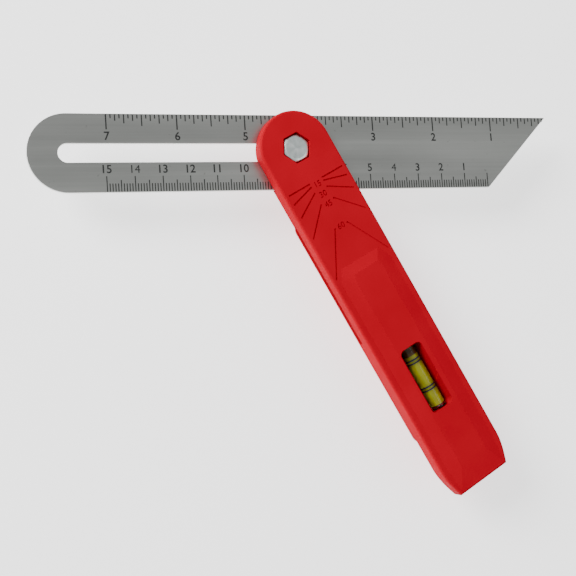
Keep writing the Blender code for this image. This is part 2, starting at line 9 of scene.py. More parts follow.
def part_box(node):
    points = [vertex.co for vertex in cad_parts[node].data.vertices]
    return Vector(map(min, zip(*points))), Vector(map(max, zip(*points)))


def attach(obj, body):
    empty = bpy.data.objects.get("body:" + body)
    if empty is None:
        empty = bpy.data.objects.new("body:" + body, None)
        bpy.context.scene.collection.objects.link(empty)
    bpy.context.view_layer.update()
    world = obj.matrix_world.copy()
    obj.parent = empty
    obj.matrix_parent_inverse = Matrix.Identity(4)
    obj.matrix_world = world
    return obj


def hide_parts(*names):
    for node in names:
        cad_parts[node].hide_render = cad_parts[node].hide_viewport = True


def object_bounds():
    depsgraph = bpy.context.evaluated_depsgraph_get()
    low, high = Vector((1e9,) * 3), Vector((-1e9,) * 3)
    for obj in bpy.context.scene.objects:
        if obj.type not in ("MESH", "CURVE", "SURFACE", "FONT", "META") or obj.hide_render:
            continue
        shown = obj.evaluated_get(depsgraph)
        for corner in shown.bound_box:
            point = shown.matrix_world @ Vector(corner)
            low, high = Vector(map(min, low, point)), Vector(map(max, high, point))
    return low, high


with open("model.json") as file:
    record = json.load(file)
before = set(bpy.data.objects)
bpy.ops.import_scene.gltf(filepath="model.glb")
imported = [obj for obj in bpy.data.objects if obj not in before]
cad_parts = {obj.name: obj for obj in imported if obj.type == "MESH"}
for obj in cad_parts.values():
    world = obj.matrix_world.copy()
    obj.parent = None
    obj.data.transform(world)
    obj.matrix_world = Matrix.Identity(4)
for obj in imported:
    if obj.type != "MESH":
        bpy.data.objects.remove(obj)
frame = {"record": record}
cad_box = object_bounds()

# Looks of a sliding T-bevel: moulded red handle with engraved angle lines and a level vial,
# brushed steel rule with etched scales, zinc-plated clamp bolt, washer and wing nut.
# Lengths are in metres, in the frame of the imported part: +X along the blade to its point,
# +Y across it, +Z out of the front, origin in the middle of the bolt head's face.

MM = 0.001

# ---------------------------------------------------------------- places read from the frame
joints = {joint["name"]: joint for joint in frame["record"]["behaviour"]["joints"]}
handle_down = Vector(joints["bubble_travel"]["axis"])
HANDLE_LEAN = math.atan2(handle_down.x, -handle_down.y)
HANDLE_TURN = Matrix.Rotation(HANDLE_LEAN, 4, 'Z')

blade_low, blade_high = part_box("blade")
bolt_low, bolt_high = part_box("clamp_bolt")
flat_washer_low, flat_washer_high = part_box("flat_washer")
friction_washer_low, friction_washer_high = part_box("friction_washer")
nut_low, nut_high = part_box("wing_nut")
front_low, front_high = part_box("front_shell")
back_low, back_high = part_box("back_shell")
screw_low, screw_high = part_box("case_screw_1")

PARTING_GAP = 0.00012          # visible seam between the shells
PARTING_Z = (blade_low[2] + blade_high[2]) / 2
PANEL_FACE_Z = front_high[2]
GRIP_FACE_Z = back_low[2]
PANEL_HEIGHT = 0.0008
GRIP_HEIGHT = 0.0010
FRONT_FACE_Z = PANEL_FACE_Z - PANEL_HEIGHT
BACK_FACE_Z = GRIP_FACE_Z + GRIP_HEIGHT

# handle outline, in the handle's own upright frame
HANDLE_WIDTH = 0.0280
HANDLE_FOOT_Y = -0.1427
TAPER_START_Y = -0.1305
FOOT_HALF_WIDTH = 0.0113
BACK_INSET = 0.0007
CHEEK_GAP = 0.0021
CHEEK_GAP_END_Y = -0.075
FRONT_EDGE_RADIUS = 0.0009
BACK_EDGE_RADIUS = 0.0020

PANEL_TOP_Y = -0.0508
PANEL_FOOT_Y = -0.1335
PANEL_HALF_WIDTH = 0.0062
PANEL_CORNER_X = 0.0008
PANEL_CORNER_Y = 0.0030
SLOPE_TOP_Y = -0.0467
SLOPE_TOP_HALF_WIDTH = 0.0084
SLOPE_SHOULDER_Y = -0.0520
SLOPE_HALF_WIDTH = 0.0114
SLOPE_FOOT_Y = -0.1413
SLOPE_FOOT_HALF_WIDTH = 0.0104

GRIP_TOP_Y = -0.0235
GRIP_FOOT_Y = -0.1200
GRIP_CORNER = 0.004
GRIP_EDGE_RADIUS = 0.0030

WINDOW_WIDTH = 0.0097
WINDOW_MIDDLE_X = -0.0005
WINDOW_TOP_Y = -0.0845
WINDOW_FOOT_Y = -0.1110
WINDOW_CORNER = 0.0020

VIAL_DIAMETER = 0.006
VIAL_LENGTH = 0.032
VIAL_CENTRE_Y = -0.0955
VIAL_AXIS_Z = -0.0037
VIAL_WALL = 0.0007
LEVEL_LINE_MIDDLE_Y = -0.0964
LEVEL_LINE_OFFSET = 0.0058     # middle of each pair of lines, from the point between the pairs
LEVEL_LINE_GAP = 0.0013
LEVEL_LINE_WIDTH = 0.00060

BOLT_HEAD_FLATS = 0.0093
BOLT_HEAD_CORNER_RADIUS = 0.0051
BOLT_HEAD_HEIGHT = 0.0022
HEX_RECESS_FLATS = 0.0102
RECESS_FLOOR_GAP = 0.0003
BOLT_DIAMETER = 0.0050
BOLT_HOLE_GAP = 0.0003

# engraving on the front cheek: each line marks the blade's edge at one angle
ANGLES = (0, 15, 30, 45, 60)
ANGLE_LABELS = ((15, -0.0153), (30, -0.0194), (45, -0.0235), (60, -0.0328))
LINE_DISTANCE = 0.0140         # from the pivot to every line
LINE_INNER_X = 0.0027
LINE_OUTER_X = 0.0122
LINE_WIDTH = 0.00055
LINE_DEPTH = 0.00035
LABEL_HEIGHT = 0.0022

BLADE_TIP_X = blade_high[0]
BLADE_WIDTH = blade_high[1] - blade_low[1]
BLADE_FRONT_Z = blade_high[2]
BLADE_BACK_Z = blade_low[2]
BLADE_MIDDLE_Y = (blade_low[1] + blade_high[1]) / 2
SLOT_WIDTH = 0.0068
SLOT_START_FROM_END = 0.0105
SLOT_INNER_END_X = 0.010
INCH = 0.0254
INCH_ZERO_X = BLADE_TIP_X + 0.0001
CENTIMETRE_ZERO_X = INCH_ZERO_X - 0.0286
SCALE_MARK_INSET = 0.00016     # bare metal between a mark and the blade's edge
INCH_MARK_LENGTHS = {16: 0.0057, 8: 0.0044, 4: 0.0035, 2: 0.0026, 1: 0.0017}
INCH_MARK_WIDTH = 0.00042
WHOLE_INCH_MARK_WIDTH = 0.00048
CENTIMETRE_MARK_LENGTH = 0.0057
HALF_CENTIMETRE_MARK_LENGTH = 0.0043
MILLIMETRE_MARK_LENGTH = 0.0031
MILLIMETRE_MARK_WIDTH = 0.00038
INCH_NUMBER_HEIGHT = 0.0030
INCH_NUMBER_INSET = 0.0080     # from the blade's edge to the middle of the number
CENTIMETRE_NUMBER_HEIGHT = 0.0029
CENTIMETRE_NUMBER_INSET = 0.0082
ETCH_THICKNESS = 0.00004

SCREW_DIAMETER = 0.0026
SCREW_HEAD_DIAMETER = 0.0044
SCREW_HEAD_HEIGHT = 0.0014
SCREW_GAP = 0.0003
CROSS_LENGTH = 0.0026
CROSS_WIDTH = 0.00064
CROSS_DEPTH = 0.0008
SCREW_PLACES = ((-0.0080, -0.0780), (0.0080, -0.0780), (-0.0080, -0.1130), (0.0080, -0.1130))

CUT_MARGIN = 0.002             # how far a cutter runs past the face it opens
POCKET_GAP = 0.0003            # between the vial and its pocket
FLOOR_GAP = 0.0018             # room for the wing nut to back off without going through the floor


# ---------------------------------------------------------------- mesh helpers
def collection_of(name):
    group = bpy.data.collections.new(name)
    bpy.context.scene.collection.children.link(group)
    return group


pieces = collection_of("visual_pieces")


def finish_mesh(name, shape):
    bmesh.ops.recalc_face_normals(shape, faces=shape.faces)
    mesh = bpy.data.meshes.new(name)
    shape.to_mesh(mesh)
    shape.free()
    return mesh


def new_piece(name, mesh, matrix=None):
    piece = bpy.data.objects.new(name, mesh)
    pieces.objects.link(piece)
    if matrix is not None:
        mesh.transform(matrix)
    return piece


def arc(centre, radius, start_degrees, end_degrees, steps):
    points = []
    for step in range(steps + 1):
        angle = math.radians(start_degrees + (end_degrees - start_degrees) * step / steps)
        points.append((centre[0] + radius * math.cos(angle), centre[1] + radius * math.sin(angle)))
    return points


def hexagon(corner_radius, turn=0.0):
    """A hexagon with its first corner on the handle's +X side, turned by an angle in radians."""
    angles = [math.radians(60 * corner) + turn for corner in range(6)]
    return [(corner_radius * math.cos(angle), corner_radius * math.sin(angle)) for angle in angles]


def rounded_box(low_x, low_y, high_x, high_y, radius, steps=8):
    points = arc((high_x - radius, low_y + radius), radius, -90, 0, steps)
    points += arc((high_x - radius, high_y - radius), radius, 0, 90, steps)
    points += arc((low_x + radius, high_y - radius), radius, 90, 180, steps)
    points += arc((low_x + radius, low_y + radius), radius, 180, 270, steps)
    return points


def plate_mesh(name, outline, low_z, high_z):
    """A closed outline given a thickness."""
    shape = bmesh.new()
    bottom = [shape.verts.new((x, y, low_z)) for x, y in outline]
    top = [shape.verts.new((x, y, high_z)) for x, y in outline]
    shape.faces.new(list(reversed(bottom)))
    shape.faces.new(top)
    count = len(outline)
    for index in range(count):
        after = (index + 1) % count
        shape.faces.new((bottom[index], bottom[after], top[after], top[index]))
    return finish_mesh(name, shape)


def box_mesh(name, low, high):
    outline = [(low[0], low[1]), (high[0], low[1]), (high[0], high[1]), (low[0], high[1])]
    return plate_mesh(name, outline, low[2], high[2])


def turned_mesh(name, profile, segments=64, closed=False):
    """Turn a profile of (radius, height) points about Z; a point on the axis closes the end."""
    shape = bmesh.new()
    rings = []
    for radius, height in profile:
        if radius < 1e-7:
            rings.append([shape.verts.new((0, 0, height))])
            continue
        ring = []
        for segment in range(segments):
            angle = 2 * math.pi * segment / segments
            ring.append(shape.verts.new((radius * math.cos(angle), radius * math.sin(angle), height)))
        rings.append(ring)
    pairs = list(zip(rings, rings[1:]))
    if closed:
        pairs.append((rings[-1], rings[0]))
    for upper, lower in pairs:
        for segment in range(segments):
            after = (segment + 1) % segments
            corners = [upper[segment % len(upper)], upper[after % len(upper)],
                       lower[after % len(lower)], lower[segment % len(lower)]]
            unique = list(dict.fromkeys(corners))
            if len(unique) > 2:
                shape.faces.new(unique)
    return finish_mesh(name, shape)


def rod_mesh(name, radius, high, low, segments=48):
    return turned_mesh(name, [(0, high), (radius, high), (radius, low), (0, low)], segments)


def along_vial(mesh):
    """Lay a mesh turned about Z along the vial's axis, in the handle's upright frame."""
    mesh.transform(Matrix.Translation((0, 0, VIAL_AXIS_Z)) @ Matrix.Rotation(math.radians(-90), 4, 'X'))
    return mesh


def number_mesh(text, height, thickness, weight=0.0):
    """A number as a thin solid, centred on its own middle."""
    curve = bpy.data.curves.new(f"number_{text}", 'FONT')
    curve.body = text
    curve.size = height * 1.42
    curve.align_x = 'CENTER'
    curve.align_y = 'CENTER'
    curve.extrude = thickness / 2
    curve.resolution_u = 3
    curve.offset = height * weight
    drawing = bpy.data.objects.new(curve.name, curve)
    bpy.context.scene.collection.objects.link(drawing)
    graph = bpy.context.evaluated_depsgraph_get()
    mesh = bpy.data.meshes.new_from_object(drawing.evaluated_get(graph))
    bpy.data.objects.remove(drawing, do_unlink=True)
    shape = bmesh.new()
    shape.from_mesh(mesh)
    bmesh.ops.remove_doubles(shape, verts=shape.verts, dist=1e-7)
    low = min(vertex.co.y for vertex in shape.verts)
    high = max(vertex.co.y for vertex in shape.verts)
    bmesh.ops.translate(shape, verts=shape.verts, vec=(0, -(low + high) / 2, 0))
    bmesh.ops.recalc_face_normals(shape, faces=shape.faces)
    shape.to_mesh(mesh)
    shape.free()
    return mesh


def joined(name, meshes):
    """One mesh from several (mesh, matrix) pairs."""
    shape = bmesh.new()
    for mesh, matrix in meshes:
        copy = mesh.copy()
        copy.transform(matrix)
        shape.from_mesh(copy)
        bpy.data.meshes.remove(copy)
    mesh = bpy.data.meshes.new(name)
    shape.to_mesh(mesh)
    shape.free()
    return mesh


def boolean(piece, mesh, operation):
    tool = bpy.data.objects.new("tool", mesh)
    bpy.context.scene.collection.objects.link(tool)
    modifier = piece.modifiers.new(operation.lower(), 'BOOLEAN')
    modifier.operation = operation
    modifier.object = tool
    modifier.solver = 'EXACT'
    apply_modifiers(piece)
    bpy.data.objects.remove(tool, do_unlink=True)


def apply_modifiers(piece):
    graph = bpy.context.evaluated_depsgraph_get()
    graph.update()
    mesh = bpy.data.meshes.new_from_object(piece.evaluated_get(graph))
    piece.modifiers.clear()
    piece.data = mesh


def mark_edges_at(mesh, z):
    weights = mesh.attributes.new("bevel_weight_edge", 'FLOAT', 'EDGE')
    for edge in mesh.edges:
        if all(abs(mesh.vertices[index].co.z - z) < 1e-5 for index in edge.vertices):
            weights.data[edge.index].value = 1.0


def round_marked_edges(piece, radius, segments):
    modifier = piece.modifiers.new("rounded", 'BEVEL')
    modifier.limit_method = 'WEIGHT'
    modifier.width = radius
    modifier.segments = segments
    apply_modifiers(piece)


def soften(piece, width, segments=2, angle=30):
    modifier = piece.modifiers.new("softened", 'BEVEL')
    modifier.limit_method = 'ANGLE'
    modifier.angle_limit = math.radians(angle)
    modifier.width = width
    modifier.segments = segments
    modifier.miter_outer = 'MITER_ARC'
    modifier.use_clamp_overlap = True
    apply_modifiers(piece)


def shade(piece, angle=32):
    """Smooth shading that keeps flats flat."""
    piece.data.shade_smooth()
    piece.data.set_sharp_from_angle(angle=math.radians(angle))
    modifier = piece.modifiers.new("flat_faces_stay_flat", 'WEIGHTED_NORMAL')
    modifier.keep_sharp = True
    modifier.weight = 100
    apply_modifiers(piece)


def dress(piece, material, body, replaced=()):
    piece.data.materials.clear()
    piece.data.materials.append(material)
    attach(piece, body)
    if replaced:
        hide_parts(*replaced)


# ---------------------------------------------------------------- node material helpers
class Nodes:
    """Short names for building a node material."""

    def __init__(self, name):
        self.material = bpy.data.materials.new(name)
        self.material.use_nodes = True
        self.tree = self.material.node_tree
        self.shader = self.tree.nodes["Principled BSDF"]
        self.place = self.add('ShaderNodeTexCoord').outputs['Object']

    def add(self, kind, **settings):
        node = self.tree.nodes.new(kind)
        for key, value in settings.items():
            setattr(node, key, value)
        return node

    def link(self, source, target):
        self.tree.links.new(source, target)

    def put(self, **values):
        names = {"colour": "Base Color", "rough": "Roughness", "metal": "Metallic", "ior": "IOR",
                 "coat": "Coat Weight", "coat_rough": "Coat Roughness", "glass": "Transmission Weight",
                 "specular": "Specular IOR Level", "anisotropy": "Anisotropic", "alpha": "Alpha",
                 "scatter": "Subsurface Weight", "scatter_scale": "Subsurface Scale",
                 "glow": "Emission Strength", "glow_colour": "Emission Color"}
        for key, value in values.items():
            if key.endswith("colour"):
                value = (*value, 1.0)
            self.shader.inputs[names[key]].default_value = value

    def noise(self, scale, detail=2.0, stretch=(1, 1, 1), roughness=0.5, source=None):
        mapping = self.add('ShaderNodeMapping')
        mapping.inputs['Scale'].default_value = stretch
        self.link(source or self.place, mapping.inputs['Vector'])
        node = self.add('ShaderNodeTexNoise')
        node.inputs['Scale'].default_value = scale
        node.inputs['Detail'].default_value = detail
        node.inputs['Roughness'].default_value = roughness
        self.link(mapping.outputs['Vector'], node.inputs['Vector'])
        return node.outputs['Fac']

    def spread(self, value, low_in, high_in, low_out, high_out):
        node = self.add('ShaderNodeMapRange')
        self.link(value, node.inputs['Value'])
        for key, number in (("From Min", low_in), ("From Max", high_in),
                            ("To Min", low_out), ("To Max", high_out)):
            node.inputs[key].default_value = number
        return node.outputs['Result']

    def math(self, operation, first, second):
        node = self.add('ShaderNodeMath', operation=operation)
        for socket, value in zip(node.inputs, (first, second)):
            if isinstance(value, (int, float)):
                socket.default_value = value
            else:
                self.link(value, socket)
        return node.outputs[0]

    def blend(self, factor, first, second):
        node = self.add('ShaderNodeMix', data_type='RGBA')
        self.link(factor, node.inputs['Factor'])
        for socket, colour in ((node.inputs[6], first), (node.inputs[7], second)):
            if isinstance(colour, tuple):
                socket.default_value = (*colour, 1.0)
            else:
                self.link(colour, socket)
        return node.outputs[2]

    def bump(self, height, distance, strength=1.0, before=None):
        node = self.add('ShaderNodeBump')
        node.inputs['Distance'].default_value = distance
        node.inputs['Strength'].default_value = strength
        self.link(height, node.inputs['Height'])
        if before is not None:
            self.link(before, node.inputs['Normal'])
        return node.outputs['Normal']

    def colour(self, output):
        self.link(output, self.shader.inputs['Base Color'])

    def rough(self, output):
        self.link(output, self.shader.inputs['Roughness'])

    def normal(self, output):
        self.link(output, self.shader.inputs['Normal'])


def red_plastic():
    """Satin moulded plastic with a fine spark texture and faint flow mottling."""
    nodes = Nodes("red_plastic_visual")
    mottle = nodes.noise(55, 3, (1, 1, 1))
    nodes.colour(nodes.blend(nodes.spread(mottle, 0.35, 0.65, 0, 1),
                             (0.440, 0.0014, 0.0120), (0.480, 0.0020, 0.0140)))
    grain = nodes.noise(5200, 2)
    smudge = nodes.noise(140, 4)
    nodes.rough(nodes.spread(smudge, 0.3, 0.7, 0.52, 0.64))
    fine = nodes.bump(grain, 0.00003, 0.5)
    nodes.normal(nodes.bump(nodes.noise(700, 2), 0.00004, 0.35, before=fine))
    nodes.put(specular=0.22, ior=1.15)
    return nodes.material


def blade_steel():
    """Cold-rolled stainless strip, brushed along its length, with a few dull specks."""
    nodes = Nodes("blade_steel_visual")
    hairline = nodes.noise(900, 3, (0.012, 1, 1), 0.6)
    wide = nodes.noise(160, 2, (0.05, 1, 1))
    cloud = nodes.noise(38, 3, (0.6, 1, 1))
    tone = nodes.math('ADD', nodes.math('MULTIPLY', hairline, 0.45), nodes.math('MULTIPLY', cloud, 0.55))
    base = nodes.blend(nodes.spread(tone, 0.35, 0.65, 0, 1), (0.425, 0.440, 0.420), (0.520, 0.532, 0.512))
    speck = nodes.spread(nodes.noise(420, 2), 0.70, 0.78, 0.0, 0.35)
    nodes.colour(nodes.blend(speck, base, (0.16, 0.16, 0.15)))
    nodes.rough(nodes.spread(wide, 0.3, 0.7, 0.30, 0.42))
    nodes.normal(nodes.bump(hairline, 0.000012, 0.6))
    nodes.put(metal=1.0, anisotropy=0.35)
    return nodes.material


def etched_black():
    """Acid-etched marks filled with dull black, a little worn through."""
    nodes = Nodes("etched_black_visual")
    worn = nodes.spread(nodes.noise(1500, 3), 0.45, 0.75, 0, 1)
    nodes.colour(nodes.blend(worn, (0.010, 0.011, 0.011), (0.040, 0.043, 0.040)))
    nodes.rough(nodes.spread(worn, 0, 1, 0.55, 0.42))
    nodes.put(metal=0.15)
    return nodes.material


def zinc(name, pale=(0.62, 0.70, 0.68), dark=(0.43, 0.50, 0.49)):
    """Dull zinc plating with cloudy spangle and small pits."""
    nodes = Nodes(name)
    cloud = nodes.noise(420, 4)
    base = nodes.blend(nodes.spread(cloud, 0.38, 0.62, 0, 1), dark, pale)
    pit = nodes.spread(nodes.noise(900, 1), 0.74, 0.80, 0.0, 0.7)
    nodes.colour(nodes.blend(pit, base, (0.12, 0.14, 0.14)))
    nodes.rough(nodes.spread(nodes.noise(600, 3), 0.3, 0.7, 0.26, 0.46))
    nodes.normal(nodes.bump(cloud, 0.00004, 0.45))
    nodes.put(metal=1.0)
    return nodes.material


def fibre():
    nodes = Nodes("fibre_visual")
    thread = nodes.noise(1800, 3, (1, 0.2, 1))
    nodes.colour(nodes.blend(thread, (0.07, 0.055, 0.04), (0.20, 0.16, 0.11)))
    nodes.rough(nodes.spread(thread, 0.3, 0.7, 0.7, 0.9))
    nodes.normal(nodes.bump(thread, 0.00003, 0.5))
    return nodes.material


def clear_plastic():
    nodes = Nodes("clear_plastic_visual")
    haze = nodes.noise(300, 2)
    nodes.rough(nodes.spread(haze, 0.3, 0.7, 0.02, 0.06))
    nodes.colour(nodes.blend(haze, (0.93, 0.95, 0.86), (0.97, 0.98, 0.93)))
    nodes.put(glass=1.0, ior=1.45)
    return nodes.material


def level_liquid():
    nodes = Nodes("level_liquid_visual")
    depth = nodes.noise(60, 1)
    nodes.colour(nodes.blend(depth, (0.62, 0.66, 0.004), (0.72, 0.72, 0.008)))
    nodes.rough(nodes.spread(depth, 0.3, 0.7, 0.03, 0.08))
    nodes.put(glass=0.25, ior=1.33)
    return nodes.material


def air_bubble():
    # Colours the air bubble dark brown: painted shade, standing in for the shaded red wall of the window seen
    # through the bubble.
    nodes = Nodes("air_bubble_visual")
    shade_mottle = nodes.noise(200, 1)
    nodes.colour(nodes.blend(shade_mottle, (0.10, 0.045, 0.008), (0.16, 0.075, 0.012)))
    nodes.rough(nodes.spread(shade_mottle, 0.3, 0.7, 0.02, 0.05))
    nodes.put(glass=0.3, ior=1.05)
    return nodes.material


# ---------------------------------------------------------------- handle
def handle_outline(inset=0.0, steps=72):
    half = HANDLE_WIDTH / 2 - inset
    foot_half = FOOT_HALF_WIDTH - inset
    taper_steps = 12
    right_side = []
    for step in range(taper_steps + 1):
        share = step / taper_steps
        x = foot_half + (half - foot_half) * math.sin(share * math.pi / 2)
        y = HANDLE_FOOT_Y + (TAPER_START_Y - HANDLE_FOOT_Y) * share
        right_side.append((x, y))
    left_side = [(-x, y) for x, y in reversed(right_side)]
    return right_side + arc((0, 0), half, 0, 180, steps) + left_side


def slope_outline():
    corners = [(SLOPE_FOOT_HALF_WIDTH, SLOPE_FOOT_Y), (SLOPE_HALF_WIDTH, TAPER_START_Y),
               (SLOPE_HALF_WIDTH, SLOPE_SHOULDER_Y), (SLOPE_TOP_HALF_WIDTH, SLOPE_TOP_Y)]
    return corners + [(-x, y) for x, y in reversed(corners)]


def panel_outline():
    corners = [(PANEL_HALF_WIDTH, PANEL_FOOT_Y), (PANEL_HALF_WIDTH, TAPER_START_Y),
               (PANEL_HALF_WIDTH, PANEL_TOP_Y - PANEL_CORNER_Y),
               (PANEL_HALF_WIDTH - PANEL_CORNER_X, PANEL_TOP_Y)]
    return corners + [(-x, y) for x, y in reversed(corners)]


def panel_mesh():
    """The raised panel; its foot is buried in the shell so that the two join cleanly."""
    buried = 0.0004
    shape = bmesh.new()
    levels = [(slope_outline(), FRONT_FACE_Z - buried), (slope_outline(), FRONT_FACE_Z),
              (panel_outline(), PANEL_FACE_Z)]
    rings = [[shape.verts.new((x, y, z)) for x, y in outline] for outline, z in levels]
    count = len(rings[0])
    for lower, upper in zip(rings, rings[1:]):
        for index in range(count):
            after = (index + 1) % count
            shape.faces.new((lower[index], lower[after], upper[after], upper[index]))
    shape.faces.new(list(reversed(rings[0])))
    shape.faces.new(rings[-1])
    return finish_mesh("front_panel", shape)


def cut_shared_openings(shell):
    half = HANDLE_WIDTH / 2 + CUT_MARGIN
    gap = box_mesh("blade_gap", (-half, CHEEK_GAP_END_Y, PARTING_Z - CHEEK_GAP / 2),
                   (half, half, PARTING_Z + CHEEK_GAP / 2))
    boolean(shell, gap, 'DIFFERENCE')
    hole_radius = BOLT_DIAMETER / 2 + BOLT_HOLE_GAP
    high_z, low_z = PANEL_FACE_Z + CUT_MARGIN, GRIP_FACE_Z - CUT_MARGIN
    boolean(shell, rod_mesh("bolt_hole", hole_radius, high_z, low_z), 'DIFFERENCE')
    radius = VIAL_DIAMETER / 2 + POCKET_GAP
    reach = VIAL_LENGTH / 2 + POCKET_GAP
    pocket = rod_mesh("pocket", radius, VIAL_CENTRE_Y + reach, VIAL_CENTRE_Y - reach)
    boolean(shell, along_vial(pocket), 'DIFFERENCE')


def engraving_mesh():
    """Cutter for the angle lines on both sides and the numbers between them."""
    top = FRONT_FACE_Z + 0.001
    floor = FRONT_FACE_Z - LINE_DEPTH
    meshes = []
    for angle in ANGLES:
        turn = math.radians(angle)
        for side in (1, -1):
            start = []
            for x in (LINE_INNER_X, LINE_OUTER_X):
                y = -(LINE_DISTANCE + x * math.sin(turn)) / math.cos(turn)
                start.append(Vector((side * x, y)))
            along = (start[1] - start[0]).normalized()
            across = Vector((-along.y, along.x)) * LINE_WIDTH / 2
            outline = [start[0] - across, start[1] - across, start[1] + across, start[0] + across]
            meshes.append((plate_mesh("line", [tuple(point) for point in outline], floor, top), Matrix()))
    for angle, y in ANGLE_LABELS:
        number = number_mesh(str(angle), LABEL_HEIGHT, top - floor)
        meshes.append((number, Matrix.Translation((0, y, (top + floor) / 2))))
    return joined("engraving", meshes)


def make_front_shell():
    mesh = plate_mesh("front_shell_visual", handle_outline(), PARTING_Z + PARTING_GAP / 2, FRONT_FACE_Z)
    mark_edges_at(mesh, FRONT_FACE_Z)
    shell = new_piece("front_shell_visual", mesh)
    round_marked_edges(shell, FRONT_EDGE_RADIUS, 4)
    boolean(shell, panel_mesh(), 'UNION')
    cut_shared_openings(shell)
    window = rounded_box(WINDOW_MIDDLE_X - WINDOW_WIDTH / 2, WINDOW_FOOT_Y,
                         WINDOW_MIDDLE_X + WINDOW_WIDTH / 2, WINDOW_TOP_Y, WINDOW_CORNER)
    window_cutter = plate_mesh("window", window, PARTING_Z - CUT_MARGIN, PANEL_FACE_Z + CUT_MARGIN)
    boolean(shell, window_cutter, 'DIFFERENCE')
    recess_radius = HEX_RECESS_FLATS / math.sqrt(3)
    recess = plate_mesh("hex_recess", hexagon(recess_radius), -BOLT_HEAD_HEIGHT - RECESS_FLOOR_GAP,
                        FRONT_FACE_Z + CUT_MARGIN)
    boolean(shell, recess, 'DIFFERENCE')
    soften(shell, 0.00022, 2, 7)
    boolean(shell, engraving_mesh(), 'DIFFERENCE')
    shade(shell)
    shell.data.transform(HANDLE_TURN)
    dress(shell, RED, "handle", ("front_shell",))


def make_back_shell():
    joint_z = PARTING_Z - PARTING_GAP / 2
    mesh = plate_mesh("back_shell_visual", handle_outline(BACK_INSET), BACK_FACE_Z, joint_z)
    mark_edges_at(mesh, BACK_FACE_Z)
    shell = new_piece("back_shell_visual", mesh)
    round_marked_edges(shell, BACK_EDGE_RADIUS, 6)
    half = HANDLE_WIDTH / 2
    grip_mesh = plate_mesh("back_grip", rounded_box(-half, GRIP_FOOT_Y, half, GRIP_TOP_Y, GRIP_CORNER),
                           GRIP_FACE_Z, joint_z)
    mark_edges_at(grip_mesh, GRIP_FACE_Z)
    grip = new_piece("back_grip", grip_mesh)
    round_marked_edges(grip, GRIP_EDGE_RADIUS, 6)
    grip_mesh = grip.data
    bpy.data.objects.remove(grip, do_unlink=True)
    boolean(shell, grip_mesh, 'UNION')
    cut_shared_openings(shell)
    seat_low = friction_washer_low[2] - 0.0002
    seat_radius = (friction_washer_high[0] - friction_washer_low[0]) / 2 + 0.0003
    seat = turned_mesh("washer_seat", [(0, PARTING_Z), (seat_radius, PARTING_Z), (seat_radius, seat_low),
                                       (0, seat_low)])
    boolean(shell, seat, 'DIFFERENCE')
    for x, y in SCREW_PLACES:
        seat_z = screw_low[2] + SCREW_HEAD_HEIGHT + SCREW_GAP
        shank_radius = SCREW_DIAMETER / 2 + SCREW_GAP
        seat_radius = SCREW_HEAD_DIAMETER / 2 + SCREW_GAP
        start_z = PARTING_Z + 0.001
        end_z = GRIP_FACE_Z - 0.001
        profile = [(0, start_z), (shank_radius, start_z), (shank_radius, seat_z), (seat_radius, seat_z),
                   (seat_radius, end_z), (0, end_z)]
        shank_hole = turned_mesh("screw_hole", profile, 40)
        shank_hole.transform(Matrix.Translation((x, y, 0)))
        boolean(shell, shank_hole, 'DIFFERENCE')
    soften(shell, 0.00022, 2, 12)
    shade(shell)
    shell.data.transform(HANDLE_TURN)
    dress(shell, RED, "handle", ("back_shell",))


def make_case_screws():
    head_z = screw_low[2]
    head_top = head_z + SCREW_HEAD_HEIGHT
    tip = screw_high[2]
    for index, (x, y) in enumerate(SCREW_PLACES, start=1):
        profile = [(0, tip), (0.0006, tip), (0.0013, tip - 0.001), (0.0013, head_top), (0.0020, head_top),
                   (0.0022, head_top - 0.0002), (0.0022, head_z + 0.0006), (0.0020, head_z + 0.0003),
                   (0.0016, head_z + 0.0001), (0.0010, head_z), (0, head_z)]
        screw = new_piece(f"case_screw_visual_{index}", turned_mesh("case_screw", profile, 48))
        for turn in (20 * index, 20 * index + 90):
            bar = box_mesh("cross", (-CROSS_LENGTH / 2, -CROSS_WIDTH / 2, head_z - 0.001),
                           (CROSS_LENGTH / 2, CROSS_WIDTH / 2, head_z + CROSS_DEPTH))
            bar.transform(Matrix.Rotation(math.radians(turn), 4, 'Z'))
            boolean(screw, bar, 'DIFFERENCE')
        shade(screw)
        screw.data.transform(HANDLE_TURN @ Matrix.Translation((x, y, 0)))
        dress(screw, ZINC, "handle", (f"case_screw_{index}",))


